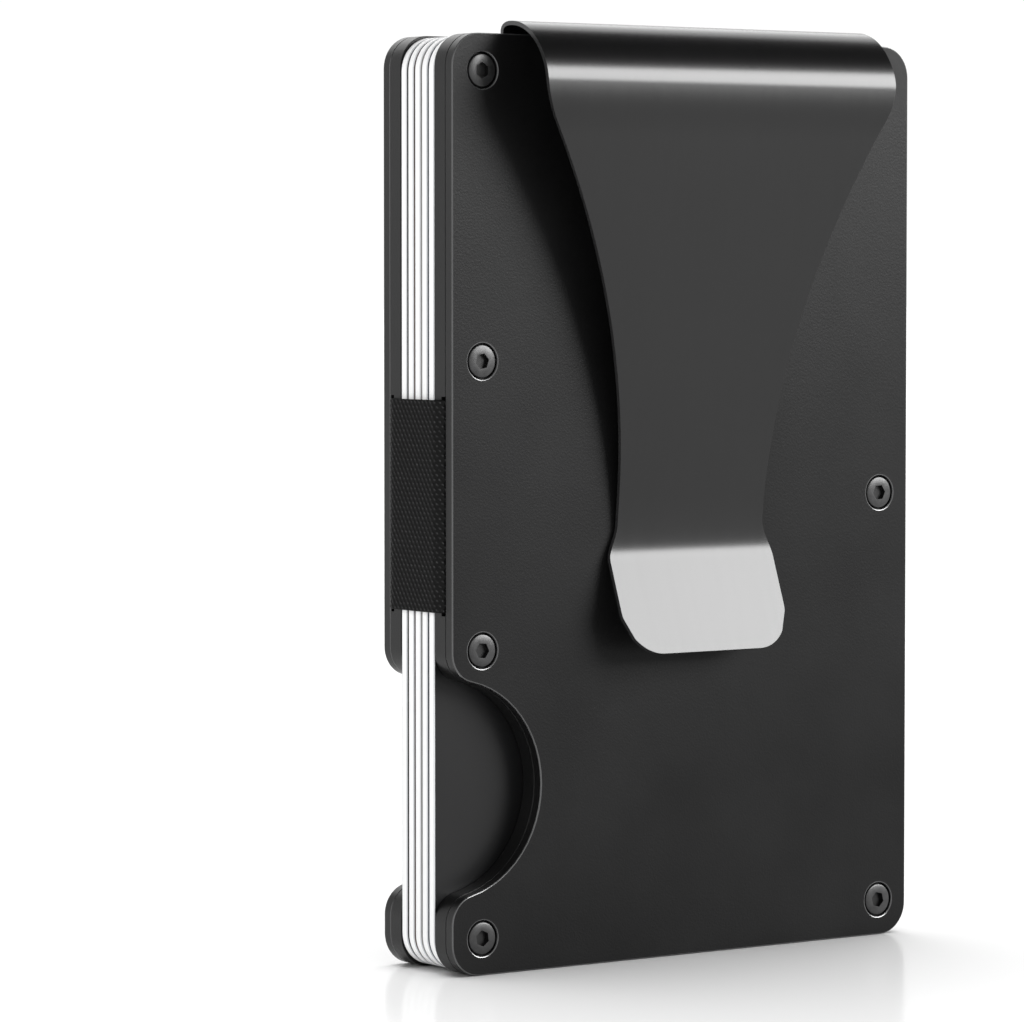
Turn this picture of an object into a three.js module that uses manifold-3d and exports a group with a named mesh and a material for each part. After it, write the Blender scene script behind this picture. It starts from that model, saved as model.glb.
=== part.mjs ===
// A slim metal card wallet with a spring-steel money clip, standing on one short edge.
//
// Two sides hold a stack of cards between them. Each side is a thin outer plate screwed
// to a thicker inner plate, and two elastic bands, trapped between those plates, pull the
// sides together round the cards. The money clip's tongue is clamped under the front
// outer plate, and its arm curls over the top edge and presses on the plate's face.
//
// Millimetres. +Z is up, the clip faces -Y, and the cards slide out towards +X.

import * as THREE from "three";
import { mergeVertices } from "three/addons/utils/BufferGeometryUtils.js";
import Module from "manifold-3d";

const wasm = await Module();
wasm.setup();

// ---------------------------------------------------------------- driving dimensions

// Cards of the standard bank-card size, which the plates are made to match
const CARD_COUNT = 5;
const CARD_LENGTH = 85.6;
const CARD_WIDTH = 53.98;
const CARD_THICKNESS = 0.84;
const CARD_CORNER_RADIUS = 3.18;
const CARD_GAP = 0.25;
const CARD_TO_PLATE_CLEARANCE = 0.1;
const CARD_END_INSET = 0.2;
const CARD_SIDE_INSET = 0.01;

// Plates
const PLATE_CORNER_RADIUS = 3;
const OUTER_PLATE_THICKNESS = 1.1;
const INNER_PLATE_THICKNESS = 1.7;

// Thumb notch through both sides at the closed long edge
const NOTCH_RADIUS = 10;
const NOTCH_CENTRE_HEIGHT = 17.2;
const NOTCH_SHOULDER_RADIUS = 2.75;

// Lead-in along the open long edge of each inner plate
const LEAD_IN_DEPTH = 0.75;
const LEAD_IN_WIDTH = 1.6;
const LEAD_IN_END_MARGIN = 1.2;
const LEAD_IN_END_ROUND = 3.5;

// Screws
const SCREW_INSET = 3.4;
const CLOSED_SIDE_SCREW_COUNT = 4;
const OPEN_SIDE_SCREW_COUNT = 3;
const SCREW_HEAD_RADIUS = 1.5;
const SCREW_HEAD_HEIGHT = 0.55;
const SCREW_HEAD_ROUND = 0.12;
const SCREW_HEAD_BELOW_FACE = 0.05;
const SCREW_SHANK_RADIUS = 0.78;
const SCREW_END_BELOW_CARD_FACE = 0.1;
const SCREW_HOLE_CLEARANCE = 0.1;
const COUNTERBORE_CLEARANCE = 0.25;
const SOCKET_ACROSS_FLATS = 1.3;
const SOCKET_DEPTH = 0.42;

// Elastic bands
const ELASTIC_WIDTH = 19.4;
const ELASTIC_LEG_THICKNESS = 0.5;
const ELASTIC_LEG_LENGTH = 9;
const ELASTIC_RISE = 0.95;
const ELASTIC_OVER_CARDS = 0.1;
const ELASTIC_SHOULDER = 1.3;
const ELASTIC_CLEARANCE = 0.05;
const ELASTIC_SIDE_CLEARANCE = 0.3;

// Money clip
const CLIP_THICKNESS = 0.4;
const CLIP_WIDTH = 41;
const CLIP_WAIST_WIDTH = 17.2;
const CLIP_TIP_WIDTH = 19.3;
const CLIP_TIP_CORNER_RADIUS = 4;
const CLIP_TAPER_START_DROP = 5.8;
const CLIP_WAIST_DROP = 44.2;
const CLIP_SHOULDER_ROUND = 2.2;
const CLIP_CREST_RISE = 0.97;
const CLIP_CURL_REACH = 5.7;
const CLIP_CURL_DROP = 4.3;
const CLIP_ARM_TOP_REACH = 5.1;
const CLIP_ARM_TOP_DROP = 9.2;
const CLIP_HEEL_REACH = 0.06;
const CLIP_HEEL_DROP = 46.9;
const CLIP_HEEL_LEAD = 4.8;
const CLIP_HEEL_TRAIL = 1.6;
const CLIP_TIP_REACH = 3.8;
const CLIP_TIP_DROP = 57.1;
const CLIP_FLARE_LENGTH = 3.5;
const CLIP_SPLIT_GAP = 0.3;
const TONGUE_DEPTH = 7;
const TONGUE_EAR_MARGIN = 1.7;
const TONGUE_EAR_TOP_DROP = 1;
const TONGUE_CORNER_RADIUS = 1.4;
const TONGUE_CLEARANCE = 0.3;
const TONGUE_FACE_CLEARANCE = 0.03;

// How finely round stretches are divided
const ARC_STEPS = 6;
const HOLE_STEPS = 16;
const CURVE_STEPS = 10;
const TAPER_STEPS = 14;

// ---------------------------------------------------------------- sizes that follow

const plateWidth = CARD_WIDTH + 2 * CARD_SIDE_INSET;
const plateHeight = CARD_LENGTH + 2 * CARD_END_INSET;
const halfWidth = plateWidth / 2;
const cardPitch = CARD_THICKNESS + CARD_GAP;
const stackThickness =
  CARD_COUNT * CARD_THICKNESS + (CARD_COUNT - 1) * CARD_GAP + 2 * CARD_TO_PLATE_CLEARANCE;
const sideThickness = INNER_PLATE_THICKNESS + OUTER_PLATE_THICKNESS;
const counterboreRadius = SCREW_HEAD_RADIUS + COUNTERBORE_CLEARANCE;
const counterboreDepth = SCREW_HEAD_HEIGHT + SCREW_HEAD_BELOW_FACE;
const screwHoleRadius = SCREW_SHANK_RADIUS + SCREW_HOLE_CLEARANCE;
const tonguePocketDepth = CLIP_THICKNESS + 2 * TONGUE_FACE_CLEARANCE;
const tongueWidth = plateWidth - 2 * TONGUE_EAR_MARGIN;
const earHeight = TONGUE_DEPTH - TONGUE_EAR_TOP_DROP;
const legPocketDepth = ELASTIC_LEG_THICKNESS + 2 * ELASTIC_CLEARANCE;

// A cut runs this far past the face it opens through.
const OVERRUN = 1;

// ---------------------------------------------------------------- materials

const finish = (colour, roughness, metalness) =>
  new THREE.MeshStandardMaterial({ color: colour, roughness, metalness });

const anodised = () => finish(0x2b2b2c, 0.62, 0.6);
const blackSteel = () => finish(0x1d1d1e, 0.4, 0.85);
const clipSteel = () => finish(0x232324, 0.34, 0.9);
const elasticWeave = () => finish(0x0c0c0c, 0.92, 0);
const whiteCard = () => finish(0xe9e9e9, 0.4, 0);

// ---------------------------------------------------------------- solids

// A closed geometry as a solid that can be cut and joined.
function solid(geometry) {
  const bare = geometry.clone();
  bare.deleteAttribute("normal");
  bare.deleteAttribute("uv");
  const welded = mergeVertices(bare, 1e-4);
  return new wasm.Manifold(
    new wasm.Mesh({
      numProp: 3,
      vertProperties: new Float32Array(welded.attributes.position.array),
      triVerts: new Uint32Array(welded.index.array),
    }),
  );
}

// A solid as a geometry with flat faces.
function geometryOf(body) {
  const mesh = body.getMesh();
  const geometry = new THREE.BufferGeometry();
  geometry.setAttribute("position", new THREE.BufferAttribute(mesh.vertProperties, 3));
  geometry.setIndex(new THREE.BufferAttribute(mesh.triVerts, 1));
  const flat = geometry.toNonIndexed();
  flat.computeVertexNormals();
  return flat;
}

function piece(name, geometry, material) {
  const mesh = new THREE.Mesh(geometry, material);
  mesh.name = name;
  return mesh;
}

const X = new THREE.Vector3(1, 0, 0);
const Y = new THREE.Vector3(0, 1, 0);
const Z = new THREE.Vector3(0, 0, 1);

// The outline as straight steps, with no two points on the same spot.
function stepped(path, steps) {
  const points = [];
  for (const point of path.getPoints(steps)) {
    const last = points.at(-1);
    if (!last || last.distanceTo(point) > 1e-3) points.push(point);
  }
  return points;
}

// Extrudes an outline and turns it, so that its own x, its own y and its depth run along
// the three directions given.
function extrudeAlong(outline, depth, across, up, out) {
  const points = stepped(outline, ARC_STEPS);
  if (points.at(-1).distanceTo(points[0]) < 1e-3) points.pop();
  const geometry = new THREE.ExtrudeGeometry(new THREE.Shape(points), {
    depth,
    bevelEnabled: false,
  });
  return geometry.applyMatrix4(new THREE.Matrix4().makeBasis(across, up, out));
}

// A slab whose outline is drawn in X and Z, from y = low to y = low + thickness.
function slab(outline, low, thickness) {
  const geometry = extrudeAlong(outline, thickness, X, Z, Y.clone().negate());
  return geometry.translate(0, low + thickness, 0);
}

// A bar along X whose section is drawn in Y and Z, centred on x = 0.
function barAlongX(section, width) {
  return extrudeAlong(section, width, Y, Z, X).translate(-width / 2, 0, 0);
}

function roundedRectangle(left, bottom, width, height, radius) {
  const shape = new THREE.Shape();
  const right = left + width;
  const top = bottom + height;
  shape.moveTo(left + radius, bottom);
  shape.absarc(right - radius, bottom + radius, radius, -Math.PI / 2, 0, false);
  shape.absarc(right - radius, top - radius, radius, 0, Math.PI / 2, false);
  shape.absarc(left + radius, top - radius, radius, Math.PI / 2, Math.PI, false);
  shape.absarc(left + radius, bottom + radius, radius, Math.PI, 1.5 * Math.PI, false);
  return shape;
}

function rectangle(left, bottom, width, height) {
  const shape = new THREE.Shape();
  shape.moveTo(left, bottom);
  shape.lineTo(left + width, bottom);
  shape.lineTo(left + width, bottom + height);
  shape.lineTo(left, bottom + height);
  return shape;
}

// A cylinder along Y, from y = low to y = high.
function rodAlongY({ x, z }, radius, low, high) {
  const geometry = new THREE.CylinderGeometry(radius, radius, high - low, HOLE_STEPS);
  return geometry.translate(x, (low + high) / 2, z);
}

// ---------------------------------------------------------------- one side of the wallet

// A side is drawn with the cards' face of its inner plate at y = 0 and its outer face at
// y = sideThickness. The front side is the same drawing mirrored to face -Y.

// Both plates of a side share this outline: a card-sized rectangle with round corners and
// a half-round thumb notch in its closed long edge. Each shoulder of the notch is an arc
// that touches both the straight edge and the notch's own arc.
function plateOutline() {
  const corner = PLATE_CORNER_RADIUS;
  const left = -halfWidth + corner;
  const right = halfWidth - corner;
  const top = plateHeight - corner;
  const shoulder = NOTCH_SHOULDER_RADIUS;
  const shoulderX = -halfWidth + shoulder;
  const shoulderRise = Math.sqrt((NOTCH_RADIUS + shoulder) ** 2 - shoulder ** 2);
  const sweep = Math.atan2(shoulderRise, shoulder);
  const middle = NOTCH_CENTRE_HEIGHT;
  const shape = new THREE.Shape();
  shape.moveTo(left, 0);
  shape.absarc(right, corner, corner, -Math.PI / 2, 0, false);
  shape.absarc(right, top, corner, 0, Math.PI / 2, false);
  shape.absarc(left, top, corner, Math.PI / 2, Math.PI, false);
  shape.absarc(shoulderX, middle + shoulderRise, shoulder, Math.PI, Math.PI + sweep, false);
  shape.absarc(-halfWidth, middle, NOTCH_RADIUS, sweep, 0, true);
  shape.absarc(-halfWidth, middle, NOTCH_RADIUS, 0, -sweep, true);
  shape.absarc(shoulderX, middle - shoulderRise, shoulder, Math.PI - sweep, Math.PI, false);
  shape.absarc(left, corner, corner, Math.PI, 1.5 * Math.PI, false);
  return shape;
}

// The screws stand in two columns, evenly spaced from bottom to top.
function screwColumn(x, count) {
  const span = plateHeight - 2 * SCREW_INSET;
  return Array.from({ length: count }, (_, i) => ({
    x,
    z: SCREW_INSET + (span * i) / (count - 1),
  }));
}

const screwPlaces = [
  ...screwColumn(-halfWidth + SCREW_INSET, CLOSED_SIDE_SCREW_COUNT),
  ...screwColumn(halfWidth - SCREW_INSET, OPEN_SIDE_SCREW_COUNT),
];

function outerPlate() {
  let body = solid(slab(plateOutline(), INNER_PLATE_THICKNESS, OUTER_PLATE_THICKNESS));
  const seat = sideThickness - counterboreDepth;
  for (const place of screwPlaces) {
    body = body
      .subtract(solid(rodAlongY(place, counterboreRadius, seat, sideThickness + OVERRUN)))
      .subtract(solid(rodAlongY(place, screwHoleRadius, 0, sideThickness)));
  }
  return geometryOf(body);
}

// The curved relief that lets cards in at the open long edge. Its section is drawn in X
// and Y, and its ends are rounded as seen from the side.
function leadIn() {
  const inner = halfWidth - LEAD_IN_WIDTH;
  const section = new THREE.Shape();
  section.moveTo(inner, 0);
  section.lineTo(inner, -OVERRUN);
  section.lineTo(halfWidth + OVERRUN, -OVERRUN);
  section.lineTo(halfWidth + OVERRUN, LEAD_IN_DEPTH);
  section.lineTo(halfWidth, LEAD_IN_DEPTH);
  section.quadraticCurveTo(
    halfWidth - LEAD_IN_WIDTH / 3, LEAD_IN_DEPTH / 4, inner, 0);
  const wedge = solid(extrudeAlong(section, plateHeight, X, Y, Z));
  const low = LEAD_IN_END_MARGIN;
  const high = plateHeight - LEAD_IN_END_MARGIN;
  const deep = LEAD_IN_DEPTH;
  const ends = new THREE.Shape();
  ends.moveTo(-2 * OVERRUN, low);
  ends.lineTo(0, low);
  ends.quadraticCurveTo(deep, low, deep, low + LEAD_IN_END_ROUND);
  ends.lineTo(deep, high - LEAD_IN_END_ROUND);
  ends.quadraticCurveTo(deep, high, 0, high);
  ends.lineTo(-2 * OVERRUN, high);
  return wedge.intersect(solid(barAlongX(ends, plateWidth + 4 * OVERRUN)));
}

// Pockets in the outer face of an inner plate, each open at the plate's edge. They reach
// from y = floor out past the face.
function sideElasticPocket(floor) {
  const width = ELASTIC_WIDTH + 2 * ELASTIC_SIDE_CLEARANCE;
  const reach = ELASTIC_LEG_LENGTH + ELASTIC_SIDE_CLEARANCE;
  const outline = rectangle(
    -halfWidth - OVERRUN, (plateHeight - width) / 2, reach + OVERRUN, width);
  return solid(slab(outline, floor, INNER_PLATE_THICKNESS));
}

function topElasticPocket(floor) {
  const width = ELASTIC_WIDTH + 2 * ELASTIC_SIDE_CLEARANCE;
  const reach = ELASTIC_LEG_LENGTH + ELASTIC_SIDE_CLEARANCE;
  const outline = rectangle(-width / 2, plateHeight - reach, width, reach + OVERRUN);
  return solid(slab(outline, floor, INNER_PLATE_THICKNESS));
}

function tonguePocket(floor) {
  const earsWidth = tongueWidth + 2 * TONGUE_CLEARANCE;
  const mouthWidth = CLIP_WIDTH + 2 * TONGUE_CLEARANCE;
  const reach = TONGUE_DEPTH + TONGUE_CLEARANCE;
  const low = plateHeight - reach;
  const ears = roundedRectangle(
    -earsWidth / 2, low, earsWidth, earHeight + 2 * TONGUE_CLEARANCE, TONGUE_CORNER_RADIUS);
  const mouth = rectangle(-mouthWidth / 2, low, mouthWidth, reach + OVERRUN);
  return solid(slab(ears, floor, INNER_PLATE_THICKNESS)).add(
    solid(slab(mouth, floor, INNER_PLATE_THICKNESS)));
}

function innerPlate({ holdsClip }) {
  const tongueFloor = INNER_PLATE_THICKNESS - tonguePocketDepth;
  let body = solid(slab(plateOutline(), 0, INNER_PLATE_THICKNESS))
    .subtract(leadIn())
    .subtract(sideElasticPocket(INNER_PLATE_THICKNESS - legPocketDepth))
    .subtract(topElasticPocket(tongueFloor - legPocketDepth));
  if (holdsClip) body = body.subtract(tonguePocket(tongueFloor));
  for (const place of screwPlaces) {
    const hole = rodAlongY(place, screwHoleRadius, -OVERRUN, sideThickness);
    body = body.subtract(solid(hole));
  }
  return geometryOf(body);
}

// A low round head with a six-sided socket, on a plain shank. It is turned about Y, with
// the top of its head at y = 0.
function screw() {
  const shankEnd = -(sideThickness - SCREW_HEAD_BELOW_FACE - SCREW_END_BELOW_CARD_FACE);
  const profile = new THREE.Path();
  profile.moveTo(0, shankEnd);
  profile.lineTo(SCREW_SHANK_RADIUS, shankEnd);
  profile.lineTo(SCREW_SHANK_RADIUS, -SCREW_HEAD_HEIGHT);
  profile.lineTo(SCREW_HEAD_RADIUS, -SCREW_HEAD_HEIGHT);
  profile.lineTo(SCREW_HEAD_RADIUS, -SCREW_HEAD_ROUND);
  profile.lineTo(SCREW_HEAD_RADIUS - SCREW_HEAD_ROUND, 0);
  profile.lineTo(0, 0);
  const blank = solid(new THREE.LatheGeometry(profile.getPoints(1), HOLE_STEPS));
  const socketRadius = SOCKET_ACROSS_FLATS / Math.sqrt(3);
  const socket = new THREE.CylinderGeometry(socketRadius, socketRadius, 2 * SOCKET_DEPTH, 6);
  return geometryOf(blank.subtract(solid(socket)));
}

function buildSide(name, { holdsClip }) {
  const side = new THREE.Group();
  side.add(piece(name + "_inner_plate", innerPlate({ holdsClip }), anodised()));
  side.add(piece(name + "_outer_plate", outerPlate(), anodised()));
  const screwGeometry = screw();
  screwPlaces.forEach(({ x, z }, i) => {
    const oneScrew = piece(name + "_screw_" + (i + 1), screwGeometry, blackSteel());
    oneScrew.position.set(x, sideThickness - SCREW_HEAD_BELOW_FACE, z);
    side.add(oneScrew);
  });
  return side;
}

// ---------------------------------------------------------------- elastic bands

// The section of a band: a leg down each side of the cards and a flat-topped bulge over
// the edge. Its own x runs through the wallet's thickness, and its own y = 0 is the edge
// of the plates, with +y outwards. half is half the width over the two legs.
function elasticSection(half) {
  const inner = half - ELASTIC_LEG_THICKNESS;
  const flat = half - ELASTIC_SHOULDER;
  const bend = half - ELASTIC_SHOULDER / 3;
  const shape = new THREE.Shape();
  shape.moveTo(-half, -ELASTIC_LEG_LENGTH);
  shape.lineTo(-inner, -ELASTIC_LEG_LENGTH);
  shape.lineTo(-inner, ELASTIC_OVER_CARDS);
  shape.lineTo(inner, ELASTIC_OVER_CARDS);
  shape.lineTo(inner, -ELASTIC_LEG_LENGTH);
  shape.lineTo(half, -ELASTIC_LEG_LENGTH);
  shape.lineTo(half, 0);
  shape.quadraticCurveTo(bend, ELASTIC_RISE, flat, ELASTIC_RISE);
  shape.lineTo(-flat, ELASTIC_RISE);
  shape.quadraticCurveTo(-bend, ELASTIC_RISE, -half, 0);
  return shape;
}

const legFromMiddle = stackThickness / 2 + INNER_PLATE_THICKNESS - ELASTIC_CLEARANCE;

function sideElastic() {
  const section = elasticSection(legFromMiddle);
  const band = extrudeAlong(section, ELASTIC_WIDTH, Y, X.clone().negate(), Z);
  const mesh = piece("side_elastic", band, elasticWeave());
  mesh.position.set(-halfWidth, 0, (plateHeight - ELASTIC_WIDTH) / 2);
  return mesh;
}

function topElastic() {
  const section = elasticSection(legFromMiddle - tonguePocketDepth);
  const mesh = piece("top_elastic", barAlongX(section, ELASTIC_WIDTH), elasticWeave());
  mesh.position.z = plateHeight;
  return mesh;
}

// ---------------------------------------------------------------- money clip

// The clip is one strip of spring steel. Its side view is a curve in Y and Z, with y = 0
// on the face of the front outer plate, -y in front of it and z = 0 at the plates' top
// edge. It is made as two pieces that part at the foot of the curl, where the arm flexes.

const tongueMiddle = OUTER_PLATE_THICKNESS + tonguePocketDepth / 2;
const curlOutermost = new THREE.Vector2(-CLIP_CURL_REACH, -CLIP_CURL_DROP);
const armTop = new THREE.Vector2(-CLIP_ARM_TOP_REACH, -CLIP_ARM_TOP_DROP);
const heel = new THREE.Vector2(-CLIP_HEEL_REACH, -CLIP_HEEL_DROP);
const tipEnd = new THREE.Vector2(-CLIP_TIP_REACH, -CLIP_TIP_DROP);

function tongueCurve() {
  const path = new THREE.Path();
  const crest = CLIP_CREST_RISE;
  path.moveTo(tongueMiddle, -TONGUE_DEPTH);
  path.lineTo(tongueMiddle, CLIP_THICKNESS / 2);
  path.quadraticCurveTo(tongueMiddle, crest, 0, crest);
  path.bezierCurveTo(
    -CLIP_CURL_REACH / 2, crest, -CLIP_CURL_REACH, -CLIP_CURL_DROP / 4,
    curlOutermost.x, curlOutermost.y);
  return path;
}

function armCurve() {
  const upArm = armTop.clone().sub(heel).normalize();
  const upTip = tipEnd.clone().sub(heel).normalize();
  const beforeHeel = heel.clone().addScaledVector(upArm, CLIP_HEEL_LEAD);
  const afterHeel = heel.clone().addScaledVector(upTip, CLIP_HEEL_TRAIL);
  const bow = (curlOutermost.y - armTop.y) / 2;
  const aboveArm = armTop.clone().addScaledVector(upArm, bow);
  const path = new THREE.Path();
  path.moveTo(curlOutermost.x, curlOutermost.y);
  path.bezierCurveTo(
    curlOutermost.x, curlOutermost.y - bow, aboveArm.x, aboveArm.y, armTop.x, armTop.y);
  path.lineTo(beforeHeel.x, beforeHeel.y);
  path.quadraticCurveTo(heel.x, heel.y, afterHeel.x, afterHeel.y);
  path.lineTo(tipEnd.x, tipEnd.y);
  return path;
}

// The strip's side view: the curve thickened evenly to both sides, and cut short by trim
// at its start.
function stripSection(path, trim) {
  const points = stepped(path, CURVE_STEPS);
  const along = points[1].clone().sub(points[0]).normalize();
  points[0] = points[0].clone().addScaledVector(along, trim);
  const offset = points.map((_, i) => {
    const back = points[Math.max(i - 1, 0)];
    const next = points[Math.min(i + 1, points.length - 1)];
    const direction = next.clone().sub(back).normalize();
    return new THREE.Vector2(-direction.y, direction.x).multiplyScalar(CLIP_THICKNESS / 2);
  });
  const left = points.map((point, i) => point.clone().add(offset[i]));
  const right = points.map((point, i) => point.clone().sub(offset[i]));
  return new THREE.Shape([...right, ...left.reverse()]);
}

// Half the clip's width at a drop below the plates' top edge, above its bend: it narrows
// from the full width to the waist along a parabola.
function halfWidthAtDrop(drop) {
  const waist = CLIP_WAIST_WIDTH / 2;
  const widening = CLIP_WIDTH / 2 - waist;
  const fraction = (CLIP_WAIST_DROP - drop) / (CLIP_WAIST_DROP - CLIP_TAPER_START_DROP);
  return waist + widening * Math.max(fraction, 0) ** 2;
}

// The clip's front view, in X and Z with z = 0 at the plates' top edge. The tip is a
// little wider than the waist and has round corners.
function clipOutline() {
  const half = CLIP_WIDTH / 2;
  const waistHalf = CLIP_WAIST_WIDTH / 2;
  const tipHalf = CLIP_TIP_WIDTH / 2;
  const corner = CLIP_TIP_CORNER_RADIUS;
  const taperStart = CLIP_TAPER_START_DROP + CLIP_SHOULDER_ROUND;
  const taperLength = CLIP_WAIST_DROP - taperStart;
  const flareStart = CLIP_HEEL_DROP - CLIP_FLARE_LENGTH / 2;
  const flareEnd = CLIP_HEEL_DROP + CLIP_FLARE_LENGTH / 2;
  const edge = new THREE.Path();
  edge.moveTo(half, CLIP_CREST_RISE + OVERRUN);
  edge.lineTo(half, -CLIP_TAPER_START_DROP + CLIP_SHOULDER_ROUND);
  edge.quadraticCurveTo(
    half, -CLIP_TAPER_START_DROP, halfWidthAtDrop(taperStart), -taperStart);
  for (let i = 1; i <= TAPER_STEPS; i += 1) {
    const drop = taperStart + (taperLength * i) / TAPER_STEPS;
    edge.lineTo(halfWidthAtDrop(drop), -drop);
  }
  edge.lineTo(waistHalf, -flareStart);
  edge.bezierCurveTo(
    waistHalf, -CLIP_HEEL_DROP, tipHalf, -CLIP_HEEL_DROP, tipHalf, -flareEnd);
  edge.absarc(tipHalf - corner, -CLIP_TIP_DROP + corner, corner, 0, -Math.PI / 2, true);
  const right = edge.getPoints(CURVE_STEPS).reverse();
  const left = right.map((point) => new THREE.Vector2(-point.x, point.y)).reverse();
  return new THREE.Shape([...right, ...left]);
}

function clipStrip(path, trim) {
  const strip = solid(barAlongX(stripSection(path, trim), CLIP_WIDTH + 2 * OVERRUN));
  const depth = 4 * CLIP_CURL_REACH;
  return strip.intersect(solid(slab(clipOutline(), -depth / 2, depth)));
}

// The tongue is clamped under the front outer plate. Its two ears, hidden by the plate,
// take the top screws.
function clipTongue() {
  const low = tongueMiddle - CLIP_THICKNESS / 2;
  const ears = roundedRectangle(
    -tongueWidth / 2, -TONGUE_DEPTH, tongueWidth, earHeight, TONGUE_CORNER_RADIUS);
  let body = clipStrip(tongueCurve(), 0).add(solid(slab(ears, low, CLIP_THICKNESS)));
  for (const { x, z } of screwPlaces) {
    const place = { x, z: z - plateHeight };
    body = body.subtract(solid(rodAlongY(place, screwHoleRadius, 0, sideThickness)));
  }
  return geometryOf(body);
}

function clipArm() {
  return geometryOf(clipStrip(armCurve(), CLIP_SPLIT_GAP));
}

// ---------------------------------------------------------------- cards

function cards() {
  const outline = roundedRectangle(
    -CARD_WIDTH / 2, CARD_END_INSET, CARD_WIDTH, CARD_LENGTH, CARD_CORNER_RADIUS);
  const geometry = slab(outline, 0, CARD_THICKNESS);
  return Array.from({ length: CARD_COUNT }, (_, i) => {
    const card = piece("card_" + (i + 1), geometry, whiteCard());
    card.position.y = -stackThickness / 2 + CARD_TO_PLATE_CLEARANCE + i * cardPitch;
    return card;
  });
}

// ---------------------------------------------------------------- the whole wallet

const backSide = buildSide("back", { holdsClip: false });
backSide.position.y = stackThickness / 2;

const frontSide = buildSide("front", { holdsClip: true });
frontSide.position.y = -stackThickness / 2;
frontSide.scale.y = -1;

const clip = new THREE.Group();
clip.add(piece("clip_tongue", clipTongue(), clipSteel()));
clip.add(piece("clip_arm", clipArm(), clipSteel()));
clip.position.set(0, -stackThickness / 2 - sideThickness, plateHeight);

const wallet = new THREE.Group();
wallet.name = "slim_card_wallet";
wallet.add(backSide, frontSide, clip, sideElastic(), topElastic(), ...cards());

// The frame's origin is on the ground, under the middle of the wallet's box.
const box = new THREE.Box3().setFromObject(wallet, true);
const middle = box.getCenter(new THREE.Vector3());
wallet.position.set(-middle.x, -middle.y, -box.min.z);

export default wallet;
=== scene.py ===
# %% [markdown]
# A slim metal card wallet with a money clip. It stands on its short edge.
# This file builds the wallet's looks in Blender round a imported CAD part, and each step
# says what the real piece is and how it is made here.

# %% The frame
import math

import bmesh
import bpy
from mathutils import Matrix, Vector
from mathutils.geometry import interpolate_bezier


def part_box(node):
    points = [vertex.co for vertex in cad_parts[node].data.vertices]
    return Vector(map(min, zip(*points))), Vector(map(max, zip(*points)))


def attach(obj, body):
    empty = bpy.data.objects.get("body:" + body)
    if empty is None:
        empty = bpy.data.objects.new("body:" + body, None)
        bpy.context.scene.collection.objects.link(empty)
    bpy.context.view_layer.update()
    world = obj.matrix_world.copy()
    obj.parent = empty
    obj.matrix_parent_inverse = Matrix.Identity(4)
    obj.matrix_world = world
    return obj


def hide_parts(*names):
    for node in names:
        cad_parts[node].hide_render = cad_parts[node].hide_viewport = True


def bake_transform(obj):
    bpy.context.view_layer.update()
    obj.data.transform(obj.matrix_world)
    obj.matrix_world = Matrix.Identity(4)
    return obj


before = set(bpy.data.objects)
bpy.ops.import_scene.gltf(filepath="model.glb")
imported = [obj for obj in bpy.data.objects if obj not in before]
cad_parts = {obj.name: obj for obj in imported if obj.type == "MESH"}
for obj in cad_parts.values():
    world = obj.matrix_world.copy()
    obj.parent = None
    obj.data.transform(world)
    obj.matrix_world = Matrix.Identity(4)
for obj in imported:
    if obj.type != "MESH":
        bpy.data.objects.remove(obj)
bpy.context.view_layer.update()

MM = 0.001

# %% [markdown]
# Every place below comes from the CAD nodes' own boxes, so each new piece lands where the
# CAD piece is. The front is -Y, the closed long edge is -X and up is +Z.

# %% Places read from the CAD nodes
outer_low, outer_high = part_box("front_outer_plate")
inner_low, inner_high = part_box("front_inner_plate")
back_low, back_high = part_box("back_outer_plate")
back_inner_low, back_inner_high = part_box("back_inner_plate")
middle_x = (outer_low.x + outer_high.x) / 2
half_width = (outer_high.x - outer_low.x) / 2
plate_height = outer_high.z
outer_thickness = outer_high.y - outer_low.y
inner_thickness = inner_high.y - inner_low.y
side_thickness = outer_thickness + inner_thickness
face_y = outer_low.y
print("plates", 2 * half_width, plate_height, "thick", outer_thickness, inner_thickness)

# %% [markdown]
# Finishes first. Each is a set of shader nodes, made by one helper that hands out a
# Principled shader. Patterns read Object coordinates, which are metres on the wallet, so
# a noise scale of 4000 gives grains of about a quarter of a millimetre.

# %% A helper for finishes
def new_finish(name, colour, roughness, specular):
    finish = bpy.data.materials.new(name)
    finish.use_nodes = True
    shader = finish.node_tree.nodes["Principled BSDF"]
    shader.inputs["Base Color"].default_value = (*colour, 1)
    shader.inputs["Roughness"].default_value = roughness
    shader.inputs["Specular IOR Level"].default_value = specular
    finish.diffuse_color = (*colour, 1)
    return finish, finish.node_tree.nodes, finish.node_tree.links, shader


def object_place(nodes, links, stretch=(1, 1, 1)):
    where = nodes.new("ShaderNodeTexCoord")
    mapping = nodes.new("ShaderNodeMapping")
    mapping.inputs["Scale"].default_value = stretch
    links.new(where.outputs["Object"], mapping.inputs["Vector"])
    return mapping.outputs["Vector"]


def noise(nodes, links, place, scale, detail=3.0):
    grain = nodes.new("ShaderNodeTexNoise")
    grain.inputs["Scale"].default_value = scale
    grain.inputs["Detail"].default_value = detail
    links.new(place, grain.inputs["Vector"])
    return grain.outputs["Fac"]


def ramp(nodes, links, value, stops):
    blend = nodes.new("ShaderNodeValToRGB")
    while len(blend.color_ramp.elements) < len(stops):
        blend.color_ramp.elements.new(0.5)
    for element, (position, colour) in zip(blend.color_ramp.elements, stops):
        element.position = position
        element.color = (*colour, 1)
    links.new(value, blend.inputs["Fac"])
    return blend.outputs["Color"]


def rescale(nodes, links, value, low, high):
    spread = nodes.new("ShaderNodeMapRange")
    spread.inputs["To Min"].default_value = low
    spread.inputs["To Max"].default_value = high
    links.new(value, spread.inputs["Value"])
    return spread.outputs["Result"]


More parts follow.
